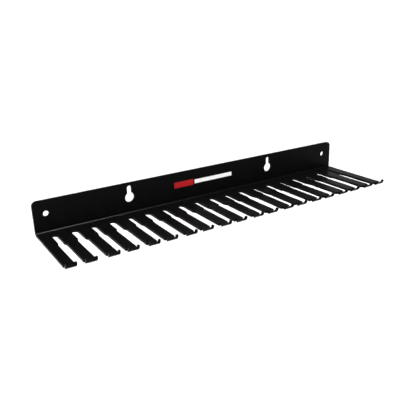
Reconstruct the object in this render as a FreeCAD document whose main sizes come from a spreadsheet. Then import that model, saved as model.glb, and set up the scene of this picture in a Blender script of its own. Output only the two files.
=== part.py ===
import FreeCAD, Part
import math
import os
import Sketcher

os.makedirs("parts", exist_ok=True)
doc = FreeCAD.newDocument("comb_hanger")

V = FreeCAD.Vector

# Frame: the origin is on the wall face of the flange, half-way along it, level with the screw holes.
# X runs along the rack, +Y goes into the wall, +Z is up. The shelf stands out towards -Y.

# ---------------------------------------------------------------- driving dimensions, millimetres
DIMENSIONS = [
    ("overall_length", 431.8, "length of the folded sheet"),
    ("sheet_thickness", 2.75, "steel sheet"),
    ("flange_height", 36.6, "top of the shelf to top of the flange"),
    ("screw_height", 20.9, "top of the shelf to the screw holes"),
    ("shelf_depth", 100.9, "front of the flange to the outside of the curled tips"),
    ("bend_inner", 1.2, "inner radius of the long bend"),
    ("curl_inner", 4.0, "inner radius of a tip's quarter-turn curl, which is also its height"),
    ("ear_width", 2.2, "each of the two ears at the sides of a curled tip"),
    ("sill_height", 0.6, "top of the shelf to the edge between a tip's two ears"),
    ("nick_start", 91.9, "front of the flange to the start of the relief nicks behind the ears"),
    ("nick_end", 96.4, "front of the flange to the end of those nicks"),
    ("nick_depth", 2.6, "how far a nick reaches into a finger's side"),
    ("flange_corner", 5.7, "rounded upper corners of the flange"),
    ("slot_pitch", 22.225, "centre to centre of neighbouring slots"),
    ("slot_root", 12.7, "front of the flange to the closed end of a slot"),
    ("neck_end", 38.6, "front of the flange to the end of a slot's neck"),
    ("mouth_start", 43.1, "front of the flange to the start of a slot's full width"),
    ("mouth_overrun", 5.0, "how far the slot cutter runs past the tips"),
    ("narrow_neck", 6.0, "narrow slot, neck"),
    ("narrow_mouth", 8.8, "narrow slot, full width"),
    ("wide_neck", 7.7, "wide slot, neck"),
    ("wide_mouth", 11.6, "wide slot, full width"),
    ("screw_hole", 6.6, "diameter of the end holes"),
    ("screw_spacing", 403.2, "end hole to end hole"),
    ("keyhole_entry", 11.8, "diameter of a keyhole's round entry"),
    ("keyhole_seat", 5.8, "width of a keyhole's slot"),
    ("keyhole_drop", 2.3, "entry centre below the screw holes"),
    ("keyhole_rise", 11.5, "entry centre up to the centre of the slot's round end"),
    ("keyhole_spacing", 204.4, "keyhole to keyhole"),
    ("ink_thickness", 0.06, "printed layer"),
    ("mark_width", 85.0, "whole print, end to end"),
    ("panel_width", 27.0, "coloured block of the print"),
    ("panel_height", 7.4, "coloured block of the print"),
    ("bar_width", 56.0, "white bar of the print"),
    ("bar_height", 5.0, "white bar of the print"),
]
NARROW_SLOTS = 10
WIDE_SLOTS = 9

sheet = doc.addObject("Spreadsheet::Sheet", "dims")
for row, (alias, value, note) in enumerate(DIMENSIONS, start=1):
    sheet.set(f"A{row}", alias)
    sheet.set(f"B{row}", str(value))
    sheet.set(f"C{row}", note)
    sheet.setAlias(f"B{row}", alias)
doc.recompute()


def size(alias):
    return float(sheet.get(alias))


# ---------------------------------------------------------------- sketch helpers
def origin_plane(body, role):
    for feature in body.Origin.OriginFeatures:
        if feature.Role == role:
            return feature
    raise ValueError(role)


def new_sketch(body, name, role):
    sketch = body.newObject("Sketcher::SketchObject", name)
    sketch.AttachmentSupport = [(origin_plane(body, role), "")]
    sketch.MapMode = "FlatFace"
    return sketch


def drive(sketch, kind, refs, name, expression, start):
    """Add a dimension whose value comes from the spreadsheet."""
    index = sketch.addConstraint(Sketcher.Constraint(kind, *refs, start))
    sketch.renameConstraint(index, name)
    sketch.setExpression(f"Constraints.{name}", expression)


START, END, CENTRE = 1, 2, 3
X_AXIS, Y_AXIS = -1, -2


# ---------------------------------------------------------------- folded sheet
def folded_profile(body):
    """Section of the sheet across its length: flange, long bend, shelf and the curl at a fingertip."""
    thick = size("sheet_thickness")
    shelf_top = -size("screw_height")
    flange_top = size("flange_height") - size("screw_height")
    bend, bend_outer = size("bend_inner"), size("bend_inner") + thick
    curl, curl_outer = size("curl_inner"), size("curl_inner") + thick
    underside = shelf_top - thick
    bend_centre = V(-bend_outer, shelf_top + bend, 0)
    curl_centre = V(-thick - size("shelf_depth") + curl_outer, shelf_top + curl, 0)
    up = V(0, 0, 1)

    def line(y1, z1, y2, z2):
        return sketch.addGeometry(Part.LineSegment(V(y1, z1, 0), V(y2, z2, 0)))

    def arc(centre, radius, first, last):
        circle = Part.Circle(centre, up, radius)
        return sketch.addGeometry(
            Part.ArcOfCircle(circle, math.radians(first), math.radians(last)))

    sketch = new_sketch(body, "folded_profile", "YZ_Plane")
    back = line(0, flange_top, 0, bend_centre.y)
    outer_bend = arc(bend_centre, bend_outer, 270, 360)
    under = line(-bend_outer, underside, curl_centre.x, underside)
    outer_curl = arc(curl_centre, curl_outer, 180, 270)
    tip_edge = line(curl_centre.x - curl_outer, curl_centre.y, curl_centre.x - curl, curl_centre.y)
    inner_curl = arc(curl_centre, curl, 180, 270)
    shelf = line(curl_centre.x, shelf_top, bend_centre.x, shelf_top)
    inner_bend = arc(bend_centre, bend, 270, 360)
    front = line(-thick, bend_centre.y, -thick, flange_top)
    top = line(-thick, flange_top, 0, flange_top)

    smooth_joints = [
        (back, END, outer_bend, END),
        (outer_bend, START, under, START),
        (under, END, outer_curl, END),
        (inner_curl, END, shelf, START),
        (shelf, END, inner_bend, START),
        (inner_bend, END, front, START),
    ]
    corners = [
        (outer_curl, START, tip_edge, START),
        (tip_edge, END, inner_curl, START),
        (front, END, top, START),
        (top, END, back, START),
        (outer_bend, CENTRE, inner_bend, CENTRE),
        (outer_curl, CENTRE, inner_curl, CENTRE),
    ]
    for joint in smooth_joints:
        sketch.addConstraint(Sketcher.Constraint("Tangent", *joint))
    for joint in corners:
        sketch.addConstraint(Sketcher.Constraint("Coincident", *joint))
    for upright in (back, front):
        sketch.addConstraint(Sketcher.Constraint("Vertical", upright))
    for level in (under, tip_edge, shelf, top):
        sketch.addConstraint(Sketcher.Constraint("Horizontal", level))
    sketch.addConstraint(Sketcher.Constraint("PointOnObject", back, START, Y_AXIS))
    sketch.addConstraint(
        Sketcher.Constraint("Horizontal", outer_curl, START, outer_curl, CENTRE))
    origin = (X_AXIS, START)
    drive(sketch, "DistanceY", (*origin, back, START), "rise",
          "dims.flange_height - dims.screw_height", flange_top)
    drive(sketch, "DistanceY", (shelf, START, *origin), "drop", "dims.screw_height", -shelf_top)
    drive(sketch, "DistanceX", (top, START, top, END), "sheet", "dims.sheet_thickness", thick)
    drive(sketch, "Radius", (inner_bend,), "bend", "dims.bend_inner", bend)
    drive(sketch, "Radius", (inner_curl,), "curl", "dims.curl_inner", curl)
    drive(sketch, "DistanceX", (tip_edge, START, front, START), "depth",
          "dims.shelf_depth", size("shelf_depth"))
    return sketch


def slot_outline(body, name, first_x, first_expression, neck, mouth):
    """One open slot: round closed end, parallel neck, two slanted shoulders and a wider mouth."""
    centre_x = first_x
    front = -size("sheet_thickness")
    half_neck, half_mouth = size(neck) / 2, size(mouth) / 2
    root_centre = front - size("slot_root") - half_neck
    shoulder_top = front - size("neck_end")
    shoulder_bottom = front - size("mouth_start")
    outside = front - size("shelf_depth") - size("mouth_overrun")

    sketch = new_sketch(body, name, "XY_Plane")

    def line(x1, y1, x2, y2):
        edge = Part.LineSegment(V(centre_x + x1, y1, 0), V(centre_x + x2, y2, 0))
        return sketch.addGeometry(edge)

    circle = Part.Circle(V(centre_x, root_centre, 0), V(0, 0, 1), half_neck)
    root = sketch.addGeometry(Part.ArcOfCircle(circle, 0, math.pi))
    neck_left = line(-half_neck, root_centre, -half_neck, shoulder_top)
    shoulder_left = line(-half_neck, shoulder_top, -half_mouth, shoulder_bottom)
    mouth_left = line(-half_mouth, shoulder_bottom, -half_mouth, outside)
    opening = line(-half_mouth, outside, half_mouth, outside)
    mouth_right = line(half_mouth, outside, half_mouth, shoulder_bottom)
    shoulder_right = line(half_mouth, shoulder_bottom, half_neck, shoulder_top)
    neck_right = line(half_neck, shoulder_top, half_neck, root_centre)
    middle = line(0, root_centre, 0, outside)
    sketch.setConstruction(middle, True)

    sketch.addConstraint(Sketcher.Constraint("Tangent", root, END, neck_left, START))
    sketch.addConstraint(Sketcher.Constraint("Tangent", neck_right, END, root, START))
    outline = [neck_left, shoulder_left, mouth_left, opening, mouth_right, shoulder_right, neck_right]
    for edge, following in zip(outline, outline[1:]):
        sketch.addConstraint(Sketcher.Constraint("Coincident", edge, END, following, START))
    for upright in (neck_left, mouth_left, middle):
        sketch.addConstraint(Sketcher.Constraint("Vertical", upright))
    sketch.addConstraint(Sketcher.Constraint("Coincident", middle, START, root, CENTRE))
    sketch.addConstraint(Sketcher.Constraint("PointOnObject", middle, END, opening))
    mirrored_pairs = [
        (neck_left, END, neck_right, START),
        (mouth_left, START, mouth_right, END),
        (mouth_left, END, mouth_right, START),
    ]
    for pair in mirrored_pairs:
        sketch.addConstraint(Sketcher.Constraint("Symmetric", *pair, middle))
    origin = (X_AXIS, START)
    drive(sketch, "DistanceX", (root, CENTRE, *origin), "place", first_expression, -centre_x)
    drive(sketch, "DistanceX", (neck_left, END, neck_right, START), "neck", f"dims.{neck}",
          2 * half_neck)
    drive(sketch, "DistanceX", (mouth_left, START, mouth_right, END), "mouth", f"dims.{mouth}",
          2 * half_mouth)
    drive(sketch, "DistanceY", (root, CENTRE, *origin), "root",
          f"dims.sheet_thickness + dims.slot_root + dims.{neck} / 2", -root_centre)
    drive(sketch, "DistanceY", (neck_left, END, *origin), "neck_length",
          "dims.sheet_thickness + dims.neck_end", -shoulder_top)
    drive(sketch, "DistanceY", (mouth_left, START, *origin), "shoulder",
          "dims.sheet_thickness + dims.mouth_start", -shoulder_bottom)
    drive(sketch, "DistanceY", (mouth_left, END, *origin), "overrun",
          "dims.sheet_thickness + dims.shelf_depth + dims.mouth_overrun", -outside)
    return sketch


def rectangle(sketch, x1, y1, x2, y2, name, middle, width, y_low, y_high):
    """A driven rectangle. Each expression is a distance: the origin to its middle line along -X,
    its width, and the origin down to its lower and its upper edge."""
    corners = [V(x1, y2, 0), V(x1, y1, 0), V(x2, y1, 0), V(x2, y2, 0)]
    sides = []
    for first, second in zip(corners, corners[1:] + corners[:1]):
        sides.append(sketch.addGeometry(Part.LineSegment(first, second)))
    left, low, right, high = sides
    for edge, following in zip(sides, sides[1:] + sides[:1]):
        sketch.addConstraint(Sketcher.Constraint("Coincident", edge, END, following, START))
    for upright in (left, right):
        sketch.addConstraint(Sketcher.Constraint("Vertical", upright))
    for level in (low, high):
        sketch.addConstraint(Sketcher.Constraint("Horizontal", level))
    origin = (X_AXIS, START)
    drive(sketch, "DistanceX", (low, START, low, END), f"{name}_width", width, x2 - x1)
    drive(sketch, "DistanceX", (low, START, *origin), f"{name}_place", f"{middle} + ({width}) / 2", -x1)
    drive(sketch, "DistanceY", (low, START, *origin), f"{name}_low", y_low, -y1)
    drive(sketch, "DistanceY", (high, START, *origin), f"{name}_high", y_high, -y2)


def nick_outline(body, name, middle_x, middle, mouth):
    """Relief nicks in the two fingers beside a slot, as one rectangle across the slot."""
    sketch = new_sketch(body, name, "XY_Plane")
    front = -size("sheet_thickness")
    opening = size(mouth) if mouth else 0.0
    half = opening / 2 + size("nick_depth")
    width = f"dims.{mouth} + 2 * dims.nick_depth" if mouth else "2 * dims.nick_depth"
    rectangle(sketch, middle_x - half, front - size("nick_end"), middle_x + half,
              front - size("nick_start"), "nick", middle, width,
              "dims.sheet_thickness + dims.nick_end", "dims.sheet_thickness + dims.nick_start")
    return sketch


def window_outline(body, name, finger_width, middle_x, middle, width):
    """The gap between a tip's two ears, on a plane that touches the front of the tips."""
    sketch = new_sketch(body, name, "XZ_Plane")
    sketch.setExpression("AttachmentOffset.Base.z", "dims.sheet_thickness + dims.shelf_depth")
    half = finger_width / 2 - size("ear_width")
    shelf_top = -size("screw_height")
    rectangle(sketch, middle_x - half, shelf_top + size("sill_height"), middle_x + half,
              shelf_top + 2 * size("curl_inner"), "gap", middle, width,
              "dims.screw_height - dims.sill_height", "dims.screw_height - 2 * dims.curl_inner")
    return sketch


def cut_through(body, name, sketch):
    """Cut the sketch right through the sheet, both ways from its plane."""
    before = body.Shape.Volume
    pocket = body.newObject("PartDesign::Pocket", name)
    pocket.Profile = sketch
    pocket.Type = "ThroughAll"
    pocket.SideType = "Symmetric"
    doc.recompute()
    if body.Shape.Volume >= before:
        raise RuntimeError(f"{name} removed nothing")
    return pocket


def repeat_along(body, name, pocket, sketch, count, expression):
    """Repeat a pocket along X at an even spacing."""
    pattern = body.newObject("PartDesign::LinearPattern", name)
    pattern.Originals = [pocket]
    pattern.Direction = (sketch, ["H_Axis"])
    pattern.Mode = "Spacing"
    pattern.Occurrences = count
    pattern.setExpression("Offset", expression)
    body.Tip = pattern
    doc.recompute()
    return pattern


TOUCH = 0.001


def across_sheet(edge, height):
    """True for a straight edge at this height that runs along Y through the sheet's thickness."""
    box = edge.BoundBox
    straight = box.XLength < TOUCH and box.ZLength < TOUCH
    whole = abs(box.YLength - size("sheet_thickness")) < TOUCH
    return straight and whole and abs(box.ZMin - height) < TOUCH


def round_edges(body, name, height, expression):
    """Round every corner of the sheet's outline that stands at one height."""
    base = body.Tip
    names = []
    for number, edge in enumerate(base.Shape.Edges, start=1):
        if across_sheet(edge, height):
            names.append(f"Edge{number}")
    if not names:
        raise RuntimeError(f"{name} found no edges")
    fillet = body.newObject("PartDesign::Fillet", name)
    fillet.Base = (base, names)
    fillet.setExpression("Radius", expression)
    doc.recompute()


def round_holes(body, name, spacing, diameter, drop):
    """A pair of round holes in the flange, one each side of the middle."""
    sketch = new_sketch(body, name, "XZ_Plane")
    sides = (("left", -1), ("right", 1))
    origin = (X_AXIS, START)
    reach, radius = size(spacing) / 2, size(diameter) / 2
    depth = size(drop) if drop else 0.0
    for side, sign in sides:
        circle = Part.Circle(V(sign * reach, -depth, 0), V(0, 0, 1), radius)
        hole = sketch.addGeometry(circle)
        drive(sketch, "Diameter", (hole,), f"{side}_diameter", f"dims.{diameter}", 2 * radius)
        pair = (hole, CENTRE, *origin) if sign < 0 else (*origin, hole, CENTRE)
        drive(sketch, "DistanceX", pair, f"{side}_place", f"dims.{spacing} / 2", reach)
        if drop:
            drive(sketch, "DistanceY", (hole, CENTRE, *origin), f"{side}_drop",
                  f"dims.{drop}", depth)
        else:
            sketch.addConstraint(Sketcher.Constraint("PointOnObject", hole, CENTRE, X_AXIS))
    return sketch


def keyhole_slots(body, name):
    """The narrow upper parts of the two keyholes, from each entry's centre up to a round end."""
    sketch = new_sketch(body, name, "XZ_Plane")
    reach, radius = size("keyhole_spacing") / 2, size("keyhole_seat") / 2
    low = -size("keyhole_drop")
    high = low + size("keyhole_rise")
    origin = (X_AXIS, START)
    for side, sign in (("left", -1), ("right", 1)):
        centre = sign * reach
        circle = Part.Circle(V(centre, high, 0), V(0, 0, 1), radius)
        crown = sketch.addGeometry(Part.ArcOfCircle(circle, 0, math.pi))
        corners = [
            V(centre - radius, high, 0),
            V(centre - radius, low, 0),
            V(centre + radius, low, 0),
            V(centre + radius, high, 0),
        ]
        edges = []
        for first, second in zip(corners, corners[1:]):
            edges.append(sketch.addGeometry(Part.LineSegment(first, second)))
        left_wall, floor, right_wall = edges
        sketch.addConstraint(Sketcher.Constraint("Tangent", crown, END, left_wall, START))
        sketch.addConstraint(Sketcher.Constraint("Tangent", right_wall, END, crown, START))
        sketch.addConstraint(Sketcher.Constraint("Coincident", left_wall, END, floor, START))
        sketch.addConstraint(Sketcher.Constraint("Coincident", floor, END, right_wall, START))
        sketch.addConstraint(Sketcher.Constraint("Vertical", left_wall))
        sketch.addConstraint(Sketcher.Constraint("Horizontal", floor))
        pair = (crown, CENTRE, *origin) if sign < 0 else (*origin, crown, CENTRE)
        drive(sketch, "DistanceX", pair, f"{side}_place", "dims.keyhole_spacing / 2", reach)
        drive(sketch, "Radius", (crown,), f"{side}_radius", "dims.keyhole_seat / 2", radius)
        drive(sketch, "DistanceY", (*origin, crown, CENTRE), f"{side}_top",
              "dims.keyhole_rise - dims.keyhole_drop", high)
        drive(sketch, "DistanceY", (floor, START, *origin), f"{side}_foot",
              "dims.keyhole_drop", -low)
    return sketch


hanger = doc.addObject("PartDesign::Body", "comb_hanger")
hanger.Label = "comb_hanger"

profile = folded_profile(hanger)
doc.recompute()
blank = hanger.newObject("PartDesign::Pad", "folded_blank")
blank.Profile = profile
blank.SideType = "Symmetric"
blank.setExpression("Length", "dims.overall_length")
doc.recompute()

for kind, count in (("narrow", NARROW_SLOTS), ("wide", WIDE_SLOTS)):
    spans = count - 1
    sketch = slot_outline(hanger, f"{kind}_slot_outline", -spans * size("slot_pitch"),
                          f"{spans} * dims.slot_pitch", f"{kind}_neck", f"{kind}_mouth")
    pocket = cut_through(hanger, f"{kind}_slot", sketch)
    repeat_along(hanger, f"{kind}_slots", pocket, sketch, count, "2 * dims.slot_pitch")

screw_sketch = round_holes(hanger, "screw_outline", "screw_spacing", "screw_hole", None)
cut_through(hanger, "screw_holes", screw_sketch)
entry_sketch = round_holes(hanger, "entry_outline", "keyhole_spacing", "keyhole_entry",
                           "keyhole_drop")
cut_through(hanger, "keyhole_entries", entry_sketch)
seat_sketch = keyhole_slots(hanger, "seat_outline")
cut_through(hanger, "keyhole_slots", seat_sketch)

# A finger has a narrow slot on one side and a wide one on the other, so its middle lies
# a quarter of their difference away from half-way between the two slots.
pitch = size("slot_pitch")
aside = (size("wide_mouth") - size("narrow_mouth")) / 4
finger_width = pitch - (size("wide_mouth") + size("narrow_mouth")) / 2
gap_width = "dims.slot_pitch - (dims.wide_mouth + dims.narrow_mouth) / 2 - 2 * dims.ear_width"
for kind, half_pitches, sign in (("odd", 19, 1), ("even", 17, -1)):
    middle = (f"{half_pitches} * dims.slot_pitch / 2 - "
              f"{sign} * (dims.wide_mouth - dims.narrow_mouth) / 4")
    sketch = window_outline(hanger, f"{kind}_gap_outline", finger_width,
                            -half_pitches * pitch / 2 + sign * aside, middle, gap_width)
    pocket = cut_through(hanger, f"{kind}_gap", sketch)
    pocket.Type = "Length"
    pocket.setExpression("Length", "2 * (dims.curl_inner + dims.sheet_thickness)")
    repeat_along(hanger, f"{kind}_gaps", pocket, sketch, NARROW_SLOTS, "2 * dims.slot_pitch")

for kind, count in (("narrow", NARROW_SLOTS), ("wide", WIDE_SLOTS)):
    spans = count - 1
    sketch = nick_outline(hanger, f"{kind}_nick_outline", -spans * pitch,
                          f"{spans} * dims.slot_pitch", f"{kind}_mouth")
    pocket = cut_through(hanger, f"{kind}_nick", sketch)
    repeat_along(hanger, f"{kind}_nicks", pocket, sketch, count, "2 * dims.slot_pitch")
for side, sign in (("left", 1), ("right", -1)):
    sketch = nick_outline(hanger, f"{side}_end_outline", -sign * size("overall_length") / 2,
                          f"{sign} * dims.overall_length / 2", None)
    cut_through(hanger, f"{side}_end_nick", sketch)

flange_top = size("flange_height") - size("screw_height")
round_edges(hanger, "flange_corners", flange_top, "dims.flange_corner")


# ---------------------------------------------------------------- print on the flange
def ink_block(name, width, height, place):
    """A thin printed rectangle lying on the flange's front face."""
    block = doc.addObject("Part::Box", name)
    block.Label = name
    block.setExpression("Length", f"dims.{width}")
    block.setExpression("Width", "dims.ink_thickness")
    block.setExpression("Height", f"dims.{height}")
    block.setExpression("Placement.Base.x", place)
    block.setExpression("Placement.Base.y", "-dims.sheet_thickness - dims.ink_thickness")
    block.setExpression("Placement.Base.z", f"-dims.{height} / 2")
    return block


panel = ink_block("mark_panel", "panel_width", "panel_height", "-dims.mark_width / 2")
bar = ink_block("mark_bar", "bar_width", "bar_height", "dims.mark_width / 2 - dims.bar_width")
doc.recompute()

# ---------------------------------------------------------------- checks and export
for item in doc.Objects:
    if "Invalid" in item.State or "Error" in item.State:
        raise RuntimeError(f"{item.Name} is {item.State}")

for piece in (hanger, panel, bar):
    if piece.Shape.isNull() or not piece.Shape.isValid():
        raise RuntimeError(f"{piece.Label} has no valid shape")
    piece.Shape.exportStep(f"parts/{piece.Label}.step")
    print(piece.Label, len(piece.Shape.Solids), "solid", round(piece.Shape.Volume, 1), "mm3")
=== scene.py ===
import math

import bpy
from mathutils import Matrix, Vector


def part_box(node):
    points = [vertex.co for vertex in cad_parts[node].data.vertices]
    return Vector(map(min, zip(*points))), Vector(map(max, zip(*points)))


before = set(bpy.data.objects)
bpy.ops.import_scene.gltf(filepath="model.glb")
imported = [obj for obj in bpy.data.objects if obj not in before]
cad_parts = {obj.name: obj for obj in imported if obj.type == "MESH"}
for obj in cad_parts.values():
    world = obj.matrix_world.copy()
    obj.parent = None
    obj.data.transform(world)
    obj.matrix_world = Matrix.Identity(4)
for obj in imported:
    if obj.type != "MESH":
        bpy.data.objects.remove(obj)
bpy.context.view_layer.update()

MM = 0.001

# ---------------------------------------------------------------- places read from the frame, metres
LOW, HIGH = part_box("comb_hanger")
LENGTH = HIGH.x - LOW.x
FLANGE_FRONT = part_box("mark_panel")[1].y    # the print lies on the flange's front
SHELF_TOP = LOW.z - FLANGE_FRONT            # the shelf is as thick as the flange, whose back is at zero

# ---------------------------------------------------------------- camera, in shares of the hanger's length
VIEW_TARGET = (-0.0329, -0.0295)        # along the hanger, and out from the flange, on the shelf's top
VIEW_DISTANCE = 1.5721
VIEW_AZIMUTH = math.radians(-31.04)
VIEW_ELEVATION = math.radians(19.53)
VIEW_ROLL = math.radians(-2.02)
SENSOR = 36.0
LENS = 49.12
CLIP_NEAR, CLIP_FAR = 0.01, 100

# ---------------------------------------------------------------- finishes
EDGE_ROUND = 0.35 * MM
EDGE_SEGMENTS = 2
EDGE_ANGLE = math.radians(40)           # sharper edges than this are rounded
WELD_GAP = 0.0005 * MM

NOISE_LOW, NOISE_HIGH = 0.3, 0.7        # the range that most of a noise lies in

COAT_TONES = (0.0010, 0.0010, 0.0011), (0.0030, 0.0030, 0.0033)
COAT_ROUGHNESS = 0.30, 0.38
COAT_IOR = 1.25
COAT_SPECULAR = 0.10
PEEL_SCALE, GRAIN_SCALE, PATCH_SCALE = 900, 4200, 45
PEEL_STRENGTH, PEEL_DEPTH = 0.35, 0.06 * MM
GRAIN_STRENGTH, GRAIN_DEPTH = 0.25, 0.03 * MM

RED_TONES = (0.29, 0.003, 0.005), (0.38, 0.004, 0.006)
WHITE_TONES = (0.74, 0.74, 0.74), (0.86, 0.86, 0.86)
INK_ROUGHNESS = 0.5, 0.42
INK_SPECULAR = 0.15
INK_SCALE = 1500
INK_STRENGTH, INK_DEPTH = 0.2, 0.02 * MM

# ---------------------------------------------------------------- floor and light
FLOOR_HALF = 12.0
FLOOR_DROP = 0.30                       # below the underside of the shelf
FLOOR_TONE, FLOOR_ROUGHNESS = 0.9, 0.9

SKY_LOW, SKY_HIGH = 0.05, 0.20          # sine of the elevation where the white fades out
SKY_LEFT, SKY_RIGHT = 0.15, 0.9         # sideways part of a direction, from the dim side to the bright one
SKY_WHITE, SKY_DIM, SKY_SIDE = 1.1, 0.05, 0.85

DOWNLIGHT_POWER, DOWNLIGHT_ANGLE = 3.4, math.radians(60)
FRONT_LIGHT = {"place": (-1.0, -2.0, 1.0), "target": (0, 0, 0), "size": (1.2, 0.9), "power": 45}
OVERHEAD_LIGHT = {"place": (0.02, -0.32, 1.0), "target": (-0.1, 0, 0), "size": (0.4, 0.3), "power": 110}


def link_object(name, data):
    thing = bpy.data.objects.new(name, data)
    bpy.context.scene.collection.objects.link(thing)
    return thing


# ---------------------------------------------------------------- camera
def add_camera():
    target = Vector((VIEW_TARGET[0] * LENGTH, FLANGE_FRONT + VIEW_TARGET[1] * LENGTH, SHELF_TOP))
    back = Vector((
        math.sin(VIEW_AZIMUTH) * math.cos(VIEW_ELEVATION),
        -math.cos(VIEW_AZIMUTH) * math.cos(VIEW_ELEVATION),
        math.sin(VIEW_ELEVATION),
    ))
    data = bpy.data.cameras.new("camera")
    data.sensor_width = SENSOR
    data.lens = LENS
    data.clip_start = CLIP_NEAR
    data.clip_end = CLIP_FAR
    camera = link_object("camera", data)
    level = (-back).to_track_quat("-Z", "Y").to_matrix()
    camera.rotation_mode = "QUATERNION"
    camera.rotation_quaternion = (level @ Matrix.Rotation(VIEW_ROLL, 3, "Z")).to_quaternion()
    camera.location = target + back * VIEW_DISTANCE * LENGTH
    bpy.context.scene.camera = camera


# ---------------------------------------------------------------- material helpers
def new_material(name):
    material = bpy.data.materials.new(name)
    material.use_nodes = True
    tree = material.node_tree
    tree.nodes.clear()
    shader = tree.nodes.new("ShaderNodeBsdfPrincipled")
    output = tree.nodes.new("ShaderNodeOutputMaterial")
    tree.links.new(shader.outputs["BSDF"], output.inputs["Surface"])
    return material, tree, shader


def noise(tree, scale, detail):
    """Noise in the object's own coordinates; scale is in cells per metre."""
    where = tree.nodes.new("ShaderNodeTexCoord")
    node = tree.nodes.new("ShaderNodeTexNoise")
    node.inputs["Scale"].default_value = scale
    node.inputs["Detail"].default_value = detail
    tree.links.new(where.outputs["Object"], node.inputs["Vector"])
    return node.outputs["Fac"]


def map_range(tree, value, from_range, to_range):
    node = tree.nodes.new("ShaderNodeMapRange")
    node.inputs["From Min"].default_value, node.inputs["From Max"].default_value = from_range
    node.inputs["To Min"].default_value, node.inputs["To Max"].default_value = to_range
    tree.links.new(value, node.inputs["Value"])
    return node


def spread(tree, value, ends):
    """The noise's usual range stretched over the two ends, clamped."""
    return map_range(tree, value, (NOISE_LOW, NOISE_HIGH), ends).outputs["Result"]


def blend_tones(tree, factor, tones):
    node = tree.nodes.new("ShaderNodeMix")
    node.data_type = "RGBA"
    node.inputs["A"].default_value = (*tones[0], 1)
    node.inputs["B"].default_value = (*tones[1], 1)
    tree.links.new(factor, node.inputs["Factor"])
    return node.outputs["Result"]


def bump(tree, height, strength, distance, normal=None):
    node = tree.nodes.new("ShaderNodeBump")
    node.inputs["Strength"].default_value = strength
    node.inputs["Distance"].default_value = distance
    tree.links.new(height, node.inputs["Height"])
    if normal is not None:
        tree.links.new(normal, node.inputs["Normal"])
    return node.outputs["Normal"]


# ---------------------------------------------------------------- materials
def black_coat():
    """Satin black powder coat: orange peel over a fine grain, a little uneven in gloss."""
    material, tree, shader = new_material("black_coat")
    peel = noise(tree, PEEL_SCALE, 2)
    grain = noise(tree, GRAIN_SCALE, 3)
    patches = noise(tree, PATCH_SCALE, 3)
    tree.links.new(blend_tones(tree, grain, COAT_TONES), shader.inputs["Base Color"])
    tree.links.new(spread(tree, patches, COAT_ROUGHNESS), shader.inputs["Roughness"])
    shader.inputs["IOR"].default_value = COAT_IOR
    shader.inputs["Specular IOR Level"].default_value = COAT_SPECULAR
    fine = bump(tree, grain, GRAIN_STRENGTH, GRAIN_DEPTH)
    tree.links.new(bump(tree, peel, PEEL_STRENGTH, PEEL_DEPTH, fine), shader.inputs["Normal"])
    return material


def ink(name, tones):
    """Screen-printed ink: even colour with a faint mottle and a soft sheen."""
    material, tree, shader = new_material(name)
    mottle = noise(tree, INK_SCALE, 3)
    tree.links.new(blend_tones(tree, spread(tree, mottle, (0, 1)), tones), shader.inputs["Base Color"])
    tree.links.new(spread(tree, mottle, INK_ROUGHNESS), shader.inputs["Roughness"])
    shader.inputs["Specular IOR Level"].default_value = INK_SPECULAR
    tree.links.new(bump(tree, mottle, INK_STRENGTH, INK_DEPTH), shader.inputs["Normal"])
    return material


def dress(node, material):
    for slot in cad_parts[node].material_slots:
        slot.link = "OBJECT"
        slot.material = material


def soften_edges(node):
    """Round the sheet's sharp edges by a fraction of a millimetre, as the coat does."""
    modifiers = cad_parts[node].modifiers
    modifiers.new("weld", "WELD").merge_threshold = WELD_GAP
    bevel = modifiers.new("coat_edges", "BEVEL")
    bevel.width = EDGE_ROUND
    bevel.segments = EDGE_SEGMENTS
    bevel.limit_method = "ANGLE"
    bevel.angle_limit = EDGE_ANGLE
    bevel.harden_normals = True
    modifiers.new("even_normals", "WEIGHTED_NORMAL").keep_sharp = True


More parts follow.
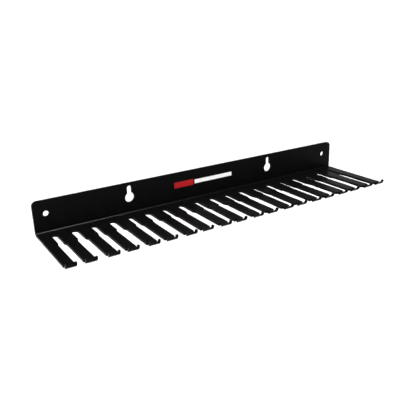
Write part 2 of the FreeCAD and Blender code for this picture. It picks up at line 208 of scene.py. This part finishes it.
# ---------------------------------------------------------------- stage
def add_floor():
    z = LOW.z - FLOOR_DROP
    corners = [
        (-FLOOR_HALF, -FLOOR_HALF, z),
        (FLOOR_HALF, -FLOOR_HALF, z),
        (FLOOR_HALF, FLOOR_HALF, z),
        (-FLOOR_HALF, FLOOR_HALF, z),
    ]
    mesh = bpy.data.meshes.new("floor")
    mesh.from_pydata(corners, [], [(0, 1, 2, 3)])
    material, _, shader = new_material("floor")
    shader.inputs["Base Color"].default_value = (FLOOR_TONE, FLOOR_TONE, FLOOR_TONE, 1)
    shader.inputs["Roughness"].default_value = FLOOR_ROUGHNESS
    mesh.materials.append(material)
    link_object("floor", mesh)


def add_area(name, place, target, size, power):
    data = bpy.data.lights.new(name, "AREA")
    data.shape = "RECTANGLE"
    data.size, data.size_y = size
    data.energy = power
    light = link_object(name, data)
    light.location = place
    light.rotation_mode = "QUATERNION"
    light.rotation_quaternion = (Vector(target) - Vector(place)).to_track_quat("-Z", "Y")
    return light


def add_downlight():
    """Broad light from straight above that keeps the floor an even white."""
    data = bpy.data.lights.new("downlight", "SUN")
    data.energy = DOWNLIGHT_POWER
    data.angle = DOWNLIGHT_ANGLE
    link_object("downlight", data).visible_glossy = False


def add_world():
    """Studio: white near and below the level of the horizon, dim above, brighter at the back right."""
    world = bpy.data.worlds.new("studio")
    world.use_nodes = True
    tree = world.node_tree
    direction = tree.nodes.new("ShaderNodeTexCoord").outputs["Generated"]
    split = tree.nodes.new("ShaderNodeSeparateXYZ")
    tree.links.new(direction, split.inputs["Vector"])
    height = map_range(tree, split.outputs["Z"], (SKY_LOW, SKY_HIGH), (1, 0))
    height.interpolation_type = "SMOOTHSTEP"
    side = map_range(tree, split.outputs["X"], (SKY_LEFT, SKY_RIGHT), (SKY_DIM, SKY_SIDE))
    strength = tree.nodes.new("ShaderNodeMix")
    strength.inputs["B"].default_value = SKY_WHITE
    tree.links.new(height.outputs["Result"], strength.inputs["Factor"])
    tree.links.new(side.outputs["Result"], strength.inputs["A"])
    background = tree.nodes["Background"]
    background.inputs["Color"].default_value = (1, 1, 1, 1)
    tree.links.new(strength.outputs["Result"], background.inputs["Strength"])
    bpy.context.scene.world = world


# ---------------------------------------------------------------- the model
dress("comb_hanger", black_coat())
soften_edges("comb_hanger")
dress("mark_panel", ink("red_ink", RED_TONES))
dress("mark_bar", ink("white_ink", WHITE_TONES))

add_floor()
add_world()
add_downlight()
add_area("front", **FRONT_LIGHT)
add_area("overhead", **OVERHEAD_LIGHT).visible_diffuse = False
add_camera()
bpy.context.scene.view_settings.view_transform = "Standard"
